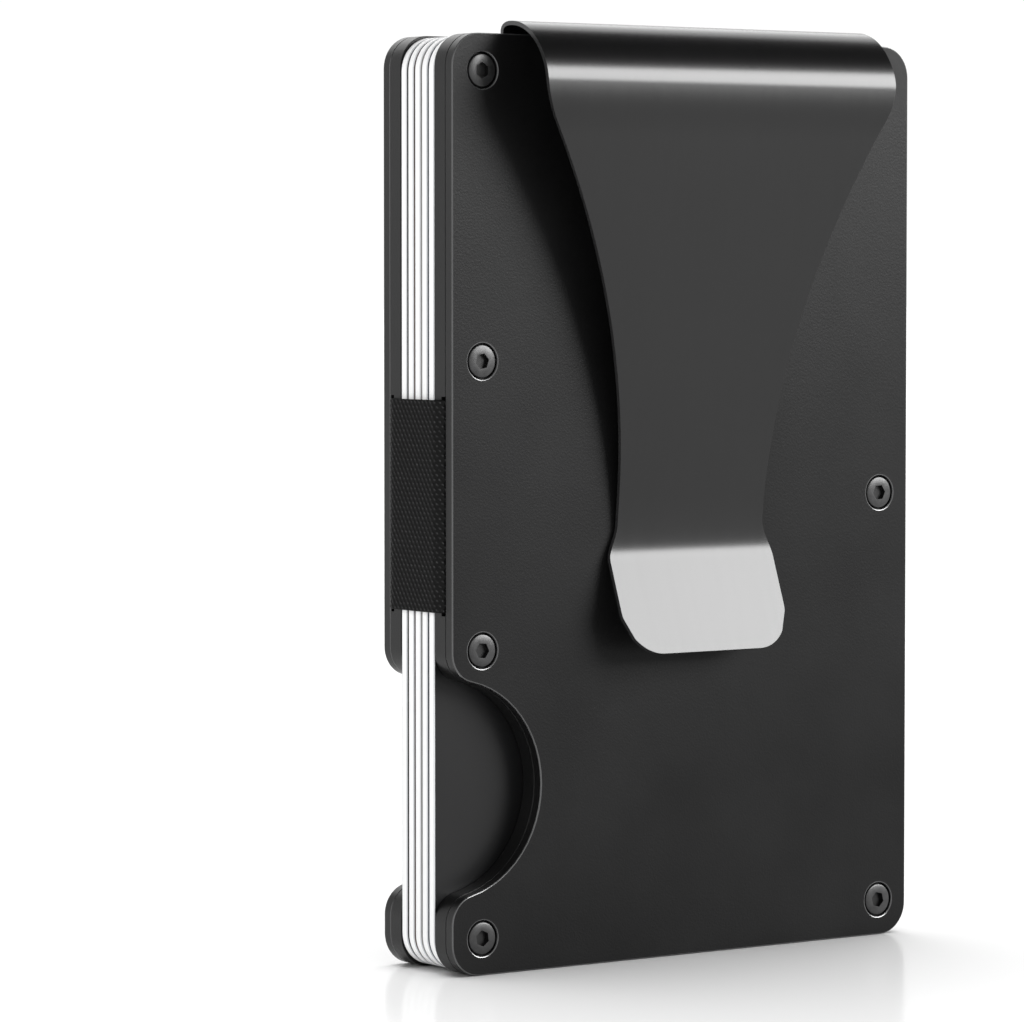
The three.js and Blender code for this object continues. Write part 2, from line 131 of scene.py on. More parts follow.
def add_bump(nodes, links, shader, height, depth, strength=1.0):
    bump = nodes.new("ShaderNodeBump")
    bump.inputs["Distance"].default_value = depth
    bump.inputs["Strength"].default_value = strength
    links.new(height, bump.inputs["Height"])
    links.new(bump.outputs["Normal"], shader.inputs["Normal"])


def grey(level):
    return (level, level, level * 1.02)


# %% [markdown]
# The plates are aluminium, bead-blasted and anodised black. Blasting leaves a fine even
# grain, and handling leaves faint cloudy patches that are a little glossier. The grain is a
# bump, the clouds change the roughness. The chamfers were cut after blasting, so they are
# smoother and catch the light as thin lines. Their base colour is also made lighter than the
# plates', which is a painted highlight along the rims.

# %% Anodised plate finishes
def anodised(name, level, roughness, specular, grain_depth):
    finish, nodes, links, shader = new_finish(name, grey(level), roughness, specular)
    place = object_place(nodes, links)
    cloud = noise(nodes, links, place, 90, 4)
    tone = ramp(nodes, links, cloud, [(0.3, grey(level * 0.8)), (0.7, grey(level * 1.2))])
    links.new(tone, shader.inputs["Base Color"])
    rough = rescale(nodes, links, cloud, roughness - 0.06, roughness + 0.06)
    links.new(rough, shader.inputs["Roughness"])
    grain = noise(nodes, links, place, 5200, 2)
    add_bump(nodes, links, shader, grain, grain_depth)
    return finish


plate_finish = anodised("anodised_black", 0.004, 0.37, 0.115, 12e-6)
wall_finish = anodised("anodised_wall", 0.004, 0.34, 0.27, 5e-6)
# The chamfers' lighter base colour is a painted highlight along the rims; their lower roughness
# and stronger specular are real.
chamfer_finish = anodised("chamfer_painted_highlight", 0.03, 0.24, 0.9, 1e-6)
inner_finish = anodised("anodised_inner", 0.004, 0.36, 0.26, 8e-6)

# %% [markdown]
# The clip is spring steel with a smooth black coat. Rolling leaves very fine lines along
# the strip, which shows as a slightly uneven sheen. Its sheared edges are where the coat is
# thinnest, so they are lighter.

# %% Clip finishes
def coated_steel(name, level, roughness, specular, line_depth):
    finish, nodes, links, shader = new_finish(name, grey(level), roughness, specular)
    place = object_place(nodes, links, stretch=(1, 0.04, 0.04))
    lines = noise(nodes, links, place, 3000, 3)
    rough = rescale(nodes, links, lines, roughness - 0.025, roughness + 0.025)
    links.new(rough, shader.inputs["Roughness"])
    smudge = noise(nodes, links, object_place(nodes, links), 60, 3)
    tone = ramp(nodes, links, smudge, [(0.3, grey(level * 0.8)), (0.7, grey(level * 1.25))])
    links.new(tone, shader.inputs["Base Color"])
    add_bump(nodes, links, shader, lines, line_depth)
    return finish


clip_finish = coated_steel("black_spring_steel", 0.002, 0.23, 0.38, 0.4e-6)
clip_edge_finish = coated_steel("sheared_edge", 0.016, 0.26, 0.7, 0.5e-6)

# %% [markdown]
# The screws are blackened steel. Turning marks on a small head are too fine to see, but
# the oxide is mottled, so the roughness is uneven. The socket's flats hold more oxide and
# are darker.

# %% Screw finishes
def blackened(name, level, roughness, specular):
    finish, nodes, links, shader = new_finish(name, grey(level), roughness, specular)
    mottle = noise(nodes, links, object_place(nodes, links), 1800, 3)
    tone = ramp(nodes, links, mottle, [(0.3, grey(level * 0.7)), (0.7, grey(level * 1.3))])
    links.new(tone, shader.inputs["Base Color"])
    rough = rescale(nodes, links, mottle, roughness - 0.08, roughness + 0.08)
    links.new(rough, shader.inputs["Roughness"])
    add_bump(nodes, links, shader, mottle, 4e-6)
    return finish


screw_finish = blackened("black_oxide", 0.012, 0.34, 0.42)
socket_finish = blackened("socket_flats", 0.003, 0.34, 0.3)

# %% [markdown]
# The elastic is a narrow woven band of black rubber and polyester. Rows of small slanted
# stitches cross it, and the tops of the stitches catch light as grey specks. The stitches
# are real bumps in the mesh. The finish adds the fibres, whose pattern reads the band's UV
# map, which runs round the band and across it. It also paints the grey specks: where the
# stitches stand high, their tops are coloured lighter as a painted highlight, and the dips
# between them are coloured darker as painted shade.

# %% Elastic finish
def woven(name):
    finish, nodes, links, shader = new_finish(name, grey(0.008), 0.62, 0.12)
    where = nodes.new("ShaderNodeTexCoord")
    fibre_place = nodes.new("ShaderNodeMapping")
    fibre_place.inputs["Scale"].default_value = (260, 90, 1)
    links.new(where.outputs["UV"], fibre_place.inputs["Vector"])
    fibres = noise(nodes, links, fibre_place.outputs["Vector"], 1.0, 4)
    # The stitches' height, kept on the band, marks where the tops get a painted highlight.
    crown_highlight_mask = nodes.new("ShaderNodeAttribute")
    crown_highlight_mask.attribute_name = "stitch_highlight"
    painted_speck_highlight = nodes.new("ShaderNodeMath")
    painted_speck_highlight.operation = "MULTIPLY"
    links.new(crown_highlight_mask.outputs["Fac"], painted_speck_highlight.inputs[0])
    links.new(fibres, painted_speck_highlight.inputs[1])
    # Painted highlight on the tops of the stitches, painted shade in the dips between them.
    tone = ramp(
        nodes, links, painted_speck_highlight.outputs["Value"],
        [(0.14, grey(0.0005)), (0.32, grey(0.003)), (0.55, grey(0.045))])
    links.new(tone, shader.inputs["Base Color"])
    shader.inputs["Sheen Weight"].default_value = 0.01
    shader.inputs["Sheen Roughness"].default_value = 0.4
    add_bump(nodes, links, shader, fibres, 25e-6, 0.8)
    return finish


elastic_finish = woven("black_woven_elastic")

# %% [markdown]
# A bank card is a white plastic core between two printed films. On its cut edge the films
# show as faint lines next to the white core. The printed face is smooth and satin. The
# first and the last card are printed dark, the others have plain two-tone prints.

# %% Card finishes
def card_edge(name, low_y, high_y):
    finish, nodes, links, shader = new_finish(name, (0.78, 0.78, 0.78), 0.35, 0.4)
    where = nodes.new("ShaderNodeTexCoord")
    parts = nodes.new("ShaderNodeSeparateXYZ")
    links.new(where.outputs["Object"], parts.inputs["Vector"])
    across = nodes.new("ShaderNodeMapRange")
    across.inputs["From Min"].default_value = low_y
    across.inputs["From Max"].default_value = high_y
    links.new(parts.outputs["Y"], across.inputs["Value"])
    white, film = (0.78, 0.78, 0.78), (0.52, 0.53, 0.54)
    layers = [(0.0, film), (0.12, film), (0.15, white), (0.83, white), (0.86, film)]
    tone = ramp(nodes, links, across.outputs["Result"], layers)
    links.new(tone, shader.inputs["Base Color"])
    saw = noise(nodes, links, object_place(nodes, links, (1, 0.2, 1)), 2500, 2)
    add_bump(nodes, links, shader, saw, 5e-6)
    return finish


def card_print(name, dark, light):
    finish, nodes, links, shader = new_finish(name, dark, 0.33, 0.22)
    waves = nodes.new("ShaderNodeTexWave")
    waves.inputs["Scale"].default_value = 9
    waves.inputs["Distortion"].default_value = 2.5
    waves.inputs["Detail"].default_value = 1.5
    waves.bands_direction = "DIAGONAL"
    links.new(object_place(nodes, links), waves.inputs["Vector"])
    tone = ramp(nodes, links, waves.outputs["Fac"], [(0.35, dark), (0.75, light)])
    links.new(tone, shader.inputs["Base Color"])
    grain = noise(nodes, links, object_place(nodes, links), 2200, 2)
    add_bump(nodes, links, shader, grain, 3e-6)
    return finish


# %% [markdown]
# A few helpers turn shapes into pieces. `flat_part` draws closed outlines in a flat curve,
# fills and thickens them, gives the rims a small chamfer and makes the result a mesh. A
# flat curve suits plates: a few control points hold each of its arcs closely. `as_piece`
# puts a bmesh into an object, `settle` makes its modifiers' result permanent, and
# `cut_out` subtracts other shapes with the Boolean modifier.

# %% Helpers for shapes
def arc(centre_x, centre_y, radius, start, turn):
    """Control points of an arc, each as place, handle before, handle after."""
    pieces = max(1, math.ceil(abs(turn) / (math.pi / 2) - 1e-6))
    step = turn / pieces
    reach = 4 / 3 * math.tan(step / 4) * radius
    points = []
    for i in range(pieces + 1):
        angle = start + step * i
        place = Vector((centre_x + radius * math.cos(angle), centre_y + radius * math.sin(angle)))
        along = Vector((-math.sin(angle), math.cos(angle))) * reach
        before = place - along if i else place.copy()
        after = place + along if i < pieces else place.copy()
        points.append([place, before, after])
    return points


def join_arcs(*arcs):
    loop = []
    for points in arcs:
        for i, point in enumerate(points):
            if i == 0 and loop and (loop[-1][0] - point[0]).length < 1e-7:
                loop[-1][2] = point[2]
            else:
                loop.append(point)
    return loop


def circle(x, y, radius):
    loop = arc(x, y, radius, 0, -2 * math.pi)
    last = loop.pop()
    loop[0][1] = last[1]
    return loop


def as_piece(name, bm, *finishes):
    mesh = bpy.data.meshes.new(name)
    bm.to_mesh(mesh)
    bm.free()
    piece = bpy.data.objects.new(name, mesh)
    bpy.context.scene.collection.objects.link(piece)
    for finish in finishes:
        mesh.materials.append(finish)
    return piece


def flat_part(loops, thickness, rim=0.0, fineness=12):
    """A bmesh of the outlines' fill, lying in X and Y, its middle at z = 0."""
    curve = bpy.data.curves.new("outline", "CURVE")
    curve.dimensions = "2D"
    curve.fill_mode = "BOTH"
    curve.resolution_u = fineness
    curve.extrude = thickness / 2 - rim
    curve.bevel_depth = rim
    curve.bevel_resolution = 1
    curve.offset = -rim
    for loop in loops:
        spline = curve.splines.new("BEZIER")
        spline.bezier_points.add(len(loop) - 1)
        spline.use_cyclic_u = True
        for knot, (place, before, after) in zip(spline.bezier_points, loop):
            knot.handle_left_type = knot.handle_right_type = "FREE"
            knot.co = (*place, 0)
            knot.handle_left = (*before, 0)
            knot.handle_right = (*after, 0)
    drawn = bpy.data.objects.new("outline", curve)
    bpy.context.scene.collection.objects.link(drawn)
    shown = drawn.evaluated_get(bpy.context.evaluated_depsgraph_get())
    mesh = bpy.data.meshes.new_from_object(shown)
    bpy.data.objects.remove(drawn)
    bm = bmesh.new()
    bm.from_mesh(mesh)
    bmesh.ops.remove_doubles(bm, verts=bm.verts, dist=1e-6)
    bmesh.ops.dissolve_degenerate(bm, edges=bm.edges, dist=1e-7)
    bmesh.ops.recalc_face_normals(bm, faces=bm.faces)
    return bm


def stand_up(bm, y):
    """Turns a flat part so that it stands in X and Z, and puts its middle at y."""
    turn = Matrix.Translation((0, y, 0)) @ Matrix.Rotation(math.pi / 2, 4, "X")
    bmesh.ops.transform(bm, matrix=turn, verts=bm.verts)


def box_shape(low, high):
    bm = bmesh.new()
    bmesh.ops.create_cube(bm, size=1)
    size = Vector(high) - Vector(low)
    middle = (Vector(high) + Vector(low)) / 2
    bmesh.ops.scale(bm, vec=size, verts=bm.verts)
    bmesh.ops.translate(bm, vec=middle, verts=bm.verts)
    return bm


def settle(piece):
    """Makes the modifiers' result the piece's own mesh."""
    shown = piece.evaluated_get(bpy.context.evaluated_depsgraph_get())
    mesh = bpy.data.meshes.new_from_object(shown)
    piece.modifiers.clear()
    piece.data = mesh


def cut_out(piece, *shapes):
    cutters = [as_piece("cutter", bm) for bm in shapes]
    for cutter in cutters:
        step = piece.modifiers.new("cut", "BOOLEAN")
        step.operation = "DIFFERENCE"
        step.solver = "EXACT"
        step.object = cutter
    settle(piece)
    for cutter in cutters:
        bpy.data.objects.remove(cutter)


def smooth(piece, degrees):
    """Smooth shading that breaks at edges sharper than the angle."""
    piece.data.shade_smooth()
    piece.data.set_sharp_from_angle(angle=math.radians(degrees))
    step = piece.modifiers.new("even shading", "WEIGHTED_NORMAL")
    step.keep_sharp = True


def measure(piece):
    places = [v.co for v in piece.data.vertices]
    low = [round(min(p[i] for p in places) / MM, 3) for i in range(3)]
    high = [round(max(p[i] for p in places) / MM, 3) for i in range(3)]
    print(piece.name, "mm", low, high, len(piece.data.polygons), "faces")


# %% [markdown]
# All four plates share one outline: a card-sized rectangle with round corners, and a thumb
# notch in the closed long edge. The notch is a half circle that meets the edge in two
# small outward rounds, so no sharp corner is left for a thumb.

# %% The plates' outline and the screws' places
corner = 3 * MM
notch_radius = 10 * MM
notch_height = 17.2 * MM
shoulder = 2.75 * MM
screw_inset = 3.4 * MM


def plate_outline():
    left, right = outer_low.x + corner, outer_high.x - corner
    top = plate_height - corner
    shoulder_x = outer_low.x + shoulder
    rise = math.sqrt((notch_radius + shoulder) ** 2 - shoulder ** 2)
    sweep = math.atan2(rise, shoulder)
    quarter = math.pi / 2
    return join_arcs(
        arc(right, corner, corner, -quarter, quarter),
        arc(right, top, corner, 0, quarter),
        arc(left, top, corner, quarter, quarter),
        arc(shoulder_x, notch_height + rise, shoulder, math.pi, sweep),
        arc(outer_low.x, notch_height, notch_radius, sweep, -2 * sweep),
        arc(shoulder_x, notch_height - rise, shoulder, math.pi - sweep, sweep),
        arc(left, corner, corner, math.pi, quarter))


span = plate_height - 2 * screw_inset
screw_places = [(outer_low.x + screw_inset, screw_inset + span * i / 3) for i in range(4)]
screw_places += [(outer_high.x - screw_inset, screw_inset + span * i / 2) for i in range(3)]
print("screws at", [(round(x / MM, 2), round(z / MM, 2)) for x, z in screw_places])

# %% [markdown]
# An outer plate is 1.1 mm sheet with a chamfer of a tenth of a millimetre round every rim.
# Seven holes are wide at the face, for the screw heads, and narrow below. Here the wide
# holes go right through the flat part, and a small turned ring closes the bottom of each.

# %% The outer plates
hole_radius = 1.67 * MM
narrow_radius = 0.88 * MM
seat_depth = 0.6 * MM
chamfer = 0.11 * MM


def seat_ring(x, z, y_low, y_high):
    bm = bmesh.new()
    low, high = narrow_radius, hole_radius + 0.05 * MM
    ring = [
        bm.verts.new((low, 0, y_low)), bm.verts.new((high, 0, y_low)),
        bm.verts.new((high, 0, y_high)), bm.verts.new((low, 0, y_high))]
    edges = [bm.edges.new((ring[i], ring[(i + 1) % 4])) for i in range(4)]
    bmesh.ops.spin(
        bm, geom=ring + edges, cent=(0, 0, 0), axis=(0, 0, 1), angle=2 * math.pi,
        steps=40, use_merge=True, use_duplicate=False)
    bmesh.ops.recalc_face_normals(bm, faces=bm.faces)
    turn = Matrix.Translation((x, 0, z)) @ Matrix.Rotation(math.pi / 2, 4, "X")
    bmesh.ops.transform(bm, matrix=turn, verts=bm.verts)
    return bm


def outer_plate(name, node, outward):
    low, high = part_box(node)
    loops = [plate_outline()] + [circle(x, z, hole_radius) for x, z in screw_places]
    bm = flat_part(loops, outer_thickness, chamfer)
    stand_up(bm, (low.y + high.y) / 2)
    bm.normal_update()
    for face in bm.faces:
        lean = abs(face.normal.y)
        face.material_index = 0 if lean > 0.93 else (2 if lean > 0.2 else 1)
    face = low.y if outward < 0 else high.y
    bottom = face - outward * outer_thickness
    seat = face - outward * seat_depth
    mesh = bpy.data.meshes.new("seat")
    for x, z in screw_places:
        ring = seat_ring(x, z, -max(bottom, seat), -min(bottom, seat))
        ring.to_mesh(mesh)
        ring.free()
        bm.from_mesh(mesh)
    piece = as_piece(name, bm, plate_finish, wall_finish, chamfer_finish)
    smooth(piece, 18)
    measure(piece)
    return piece


front_cover = outer_plate("front_cover", "front_outer_plate", -1)
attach(front_cover, "front_side")
back_cover = outer_plate("back_cover", "back_outer_plate", 1)
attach(back_cover, "back_side")
for piece, node in ((front_cover, "front_outer_plate"), (back_cover, "back_outer_plate")):
    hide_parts(node)

# %% [markdown]
# An inner plate is thicker and has pockets milled into the side that the outer plate
# covers: one for each elastic band, and in the front one a pocket for the clip. Along the
# open long edge its card side is rounded away, so cards slide in easily. The plain plate is
# a flat part again, and the pockets and the relief are cut out of it.

# %% The inner plates
side_band_low, side_band_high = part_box("side_elastic")
top_band_low, top_band_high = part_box("top_elastic")
lead_in_depth = 0.75 * MM
lead_in_width = 1.6 * MM
lead_in_end = 3.2 * MM
taper_steps = 6
taper_run = 2 * MM
band_pocket = 0.6 * MM
clip_pocket_drop = 7.3 * MM
inner_rim = 0.04 * MM


def lead_in_cutter(card_side, outward):
    """A bar with one rounded corner, tapered to nothing in depth at both ends."""
    edge = outer_high.x
    start, leave = Vector((edge - lead_in_width, 0)), Vector((edge - 0.9 * MM, 0.12 * MM))
    end, reach = Vector((edge, lead_in_depth)), Vector((edge - 0.36 * MM, 0.38 * MM))
    loop = [
        [start, start.copy(), leave], [end, reach, end.copy()],
        [Vector((edge + MM, lead_in_depth))] * 3, [Vector((edge + MM, -MM))] * 3,
        [Vector((edge - lead_in_width, -MM))] * 3]
    length = plate_height - 2 * lead_in_end
    bm = flat_part([loop], length, fineness=10)
    for side in (-1, 1):
        rim = [f for f in bm.faces if f.normal.z * side > 0.9]
        for i in range(1, taper_steps + 1):
            angle = math.pi / 2 * i / taper_steps
            angle_before = math.pi / 2 * (i - 1) / taper_steps
            moved = bmesh.ops.extrude_face_region(bm, geom=rim)["geom"]
            bmesh.ops.delete(bm, geom=rim, context="FACES")
            rim = [g for g in moved if isinstance(g, bmesh.types.BMFace)]
            ends = list({v for f in rim for v in f.verts})
            run = (math.sin(angle) - math.sin(angle_before)) * taper_run
            drop = max(math.cos(angle), 0.02) / math.cos(angle_before)
            for v in ends:
                v.co.z += side * run
                if v.co.y > 0:
                    v.co.y *= drop
    bmesh.ops.recalc_face_normals(bm, faces=bm.faces)
    place = Matrix.Translation((0, card_side, plate_height / 2))
    place = place @ Matrix.Diagonal((1, outward, 1, 1))
    bmesh.ops.transform(bm, matrix=place, verts=bm.verts)
    bmesh.ops.recalc_face_normals(bm, faces=bm.faces)
    return bm


def inner_plate(name, node, outward, holds_clip):
    low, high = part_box(node)
    loops = [plate_outline()] + [circle(x, z, narrow_radius) for x, z in screw_places]
    bm = flat_part(loops, inner_thickness, inner_rim)
    stand_up(bm, (low.y + high.y) / 2)
    piece = as_piece(name, bm, inner_finish)
    outside = low.y if outward < 0 else high.y
    card_side = high.y if outward < 0 else low.y

    def pocket(x_low, x_high, z_low, z_high, depth_from, depth_to):
        ys = sorted((outside - outward * depth_from, outside - outward * depth_to))
        return box_shape((x_low, ys[0], z_low), (x_high, ys[1], z_high))

    clear = 0.3 * MM
    under = 0.46 * MM
    shapes = [
        lead_in_cutter(card_side, outward),
        pocket(outer_low.x - MM, side_band_high.x + clear,
               side_band_low.z - clear, side_band_high.z + clear, -MM, band_pocket),
        pocket(top_band_low.x - clear, top_band_high.x + clear,
               top_band_low.z - clear, plate_height + MM, -MM, under + band_pocket)]
    if holds_clip:
        clip_low, clip_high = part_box("clip_arm")
        shapes.append(pocket(
            clip_low.x - clear, clip_high.x + clear,
            plate_height - clip_pocket_drop, plate_height + MM, -MM, under))
    cut_out(piece, *shapes)
    smooth(piece, 18)
    measure(piece)
    return piece


front_inner = inner_plate("front_frame", "front_inner_plate", -1, True)
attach(front_inner, "front_side")
back_inner = inner_plate("back_frame", "back_inner_plate", 1, False)
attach(back_inner, "back_side")
for piece, node in ((front_inner, "front_inner_plate"), (back_inner, "back_inner_plate")):
    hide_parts(node)

# %% [markdown]
# Fourteen small screws with low heads and six-sided sockets hold the plates together. One
# is made: its side view, with its edges already eased, is spun round into a solid, and a
# six-sided bar is cut out of the head. The others are copies of it, moved to their holes.

# %% One screw
head_radius = 1.5 * MM
head_height = 0.55 * MM
shank_radius = 0.78 * MM
head_below_face = 0.05 * MM
head_round = 0.16 * MM
shank_bevel = 0.1 * MM
socket_wide, socket_narrow, socket_bar = 0.78 * MM, 0.74 * MM, 0.84 * MM
shank_length = side_thickness - head_below_face - 0.1 * MM

bm = bmesh.new()
side_view = [
    (0, -shank_length), (shank_radius - shank_bevel, -shank_length),
    (shank_radius, -shank_length + shank_bevel), (shank_radius, -head_height),
    (head_radius, -head_height), (head_radius, -head_round),
    (head_radius - 0.05 * MM, -0.05 * MM), (head_radius - 0.18 * MM, 0), (0, 0)]
knots = [bm.verts.new((r, 0, z)) for r, z in side_view]
edges = [bm.edges.new(pair) for pair in zip(knots, knots[1:])]
bmesh.ops.spin(
    bm, geom=knots + edges, cent=(0, 0, 0), axis=(0, 0, 1), angle=2 * math.pi,
    steps=48, use_merge=True, use_duplicate=False)
bmesh.ops.remove_doubles(bm, verts=bm.verts, dist=1e-7)
bmesh.ops.recalc_face_normals(bm, faces=bm.faces)
pattern_screw = as_piece("pattern_screw", bm, screw_finish, socket_finish)

socket = bmesh.new()
bmesh.ops.create_cone(
    socket, cap_ends=True, segments=6, radius1=socket_wide, radius2=socket_narrow,
    depth=socket_bar)
cut_out(pattern_screw, socket)
for face in pattern_screw.data.polygons:
    radius = math.hypot(face.center.x, face.center.y)
    inside = radius < 0.8 * MM and -0.5 * MM < face.center.z < -0.001 * MM
    face.material_index = 1 if inside else 0
measure(pattern_screw)

# %% All the screws
for side, body, face, outward in (
        ("front", "front_side", face_y, -1), ("back", "back_side", back_high.y, 1)):
    for i, (x, z) in enumerate(screw_places):
        name = f"{side}_cap_screw_{i + 1}"
        mesh = pattern_screw.data.copy()
        turned = Matrix.Rotation(math.radians(17 * i + 8), 4, "Z")
        tipped = Matrix.Rotation(-outward * math.pi / 2, 4, "X")
        place = Matrix.Translation((x, face - outward * head_below_face, z))
        mesh.transform(place @ tipped @ turned)
        screw = bpy.data.objects.new(name, mesh)
        bpy.context.scene.collection.objects.link(screw)
        smooth(screw, 24)
        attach(screw, body)
        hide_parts(f"{side}_screw_{i + 1}")
bpy.data.objects.remove(pattern_screw)
print("screws", 2 * len(screw_places))

# %% [markdown]
# The money clip is one strip of sheet steel. Seen from the side it comes up from under the
# front plate, curls over forwards, runs down to a bend that presses on the plate, and
# flares out again at its tip. Seen from the front it narrows to a waist and widens a little
# at the round-cornered tip. A flat grid is bent along the side view, row by row, with each
# row as wide as the front view says, and then it gets its thickness. The last rows are
# crowded together, because the tip's corners need them.

# %% The clip's side view
arm_low, arm_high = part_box("clip_arm")
clip_thickness = 0.4 * MM
top = plate_height
tongue_y = face_y + outer_thickness + 0.23 * MM


def side_point(reach, drop):
    return Vector((0, face_y - reach * MM, top - drop * MM))


crest = side_point(0, -0.97)
lip = Vector((0, tongue_y, top + 0.2 * MM))
lip_corner = Vector((0, tongue_y, crest.z))
curl = side_point(5.7, 4.3)
arm_top = side_point(5.1, 9.2)
heel = side_point(0.06, 46.9)
tip = side_point(3.8, 57.1)
up_arm = (arm_top - heel).normalized()
up_tip = (tip - heel).normalized()
before_heel = heel + up_arm * 4.8 * MM
after_heel = heel + up_tip * 1.6 * MM


def thirds(start, corner_point, end):
    return (start, start.lerp(corner_point, 2 / 3), end.lerp(corner_point, 2 / 3), end)


bow = (curl.z - arm_top.z) / 2
stretches = [
    thirds(Vector((0, tongue_y, top - 7 * MM)), Vector((0, tongue_y, top - 3 * MM)), lip),
    thirds(lip, lip_corner, crest),
    (crest, side_point(3.7, -0.97), side_point(5.7, 2.6), curl),
    (curl, Vector((0, curl.y, curl.z - bow)), arm_top + up_arm * bow, arm_top),
    thirds(arm_top, arm_top.lerp(before_heel, 0.5), before_heel),
    thirds(before_heel, heel, after_heel),
    thirds(after_heel, after_heel.lerp(tip, 0.5), tip)]
trace = []
for start, leave, reach, end in stretches:
    trace += interpolate_bezier(start, leave, reach, end, 120)[:-1]
trace.append(tip)
lengths = [0.0]
for a, b in zip(trace, trace[1:]):
    lengths.append(lengths[-1] + (b - a).length)
print("clip strip is", round(lengths[-1] / MM, 1), "mm long")

# %% The clip's front view
def clip_half_width(z):
    """Half the strip's width at a height. The numbers are millimetres below the top."""
    drop = (top - z) / MM
    full, waist, tip_half = 20.5, 8.6, 9.65
    waist_drop, taper_length = 44.2, 38.4
    shoulder_drop, shoulder_length, taper_drop = 3.6, 4.4, 8
    flare_drop, flare_length, flare_end = 45.15, 3.5, 48.65
    corner_drop, corner_radius = 53.1, 4

    def tapered(d):
        return waist + (full - waist) * max((waist_drop - d) / taper_length, 0) ** 2

    if drop < shoulder_drop:
        half = full
    elif drop < taper_drop:
        share = (drop - shoulder_drop) / shoulder_length
        half = full * (1 - share ** 2) + tapered(taper_drop) * share ** 2
    elif drop < flare_drop:
        half = tapered(drop)
    elif drop < flare_end:
        share = (drop - flare_drop) / flare_length
        half = waist + (tip_half - waist) * share * share * (3 - 2 * share)
    elif drop < corner_drop:
        half = tip_half
    else:
        left = max(corner_radius ** 2 - (drop - corner_drop) ** 2, 0)
        half = tip_half - corner_radius + math.sqrt(left)
    return half * MM


def at_length(distance):
    low, high = 0, len(lengths) - 1
    while high - low > 1:
        mid = (low + high) // 2
        low, high = (mid, high) if lengths[mid] <= distance else (low, mid)
    share = (distance - lengths[low]) / (lengths[high] - lengths[low])
    return trace[low].lerp(trace[high], share)


# %% Bending the strip
rows, columns = 300, 26
crowd_from, crowd_length = 0.95, 0.1
bm = bmesh.new()
bmesh.ops.create_grid(bm, x_segments=columns, y_segments=rows, size=0.5)
for v in bm.verts:
    across, along = 2 * v.co.x, min(max(0.5 - v.co.y, 0), 1)
    if along > crowd_from:
        along = 1 - (1 - along) ** 2 / crowd_length
    place = at_length(min(along, 1) * lengths[-1])
    v.co = (middle_x + across * clip_half_width(place.z), place.y, place.z)
bmesh.ops.recalc_face_normals(bm, faces=bm.faces)
clip = as_piece("money_clip", bm, clip_finish, clip_edge_finish)
wall = clip.modifiers.new("sheet", "SOLIDIFY")
wall.thickness = clip_thickness
wall.offset = 0
wall.use_even_offset = True
wall.material_offset_rim = 1
settle(clip)
soft = clip.modifiers.new("eased edges", "BEVEL")
soft.width = 0.05 * MM
soft.segments = 2
soft.limit_method = "ANGLE"
soft.angle_limit = math.radians(50)
smooth(clip, 50)
measure(clip)
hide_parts("clip_tongue", "clip_arm")
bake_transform(clip)

# %% [markdown]
# Two elastic bands pull the sides together, one over the closed long edge and one over the
# top. Each goes in between the plates of one side, round the edge, and in between the
# plates of the other. Like the clip, a band is a grid bent along its side view. Rows of
# stitches are pushed out of the surface, each row offset from the next by half the stitches'
# spacing. Their height is kept as an attribute, which the finish uses to paint the tops
# of the stitches lighter as a painted highlight, and the dips darker as painted shade.

# %% The elastic bands
band_width = 19.4 * MM
band_thickness = 0.42 * MM
leg_length = 9 * MM
shoulder_length = 1.3 * MM
band_rows, rows_per_stitch, band_columns = 44, 4, 190
stitch_length, stitch_height, stitch_slant = 0.6 * MM, 0.09 * MM, 0.6
plain_below_edge = 0.6 * MM


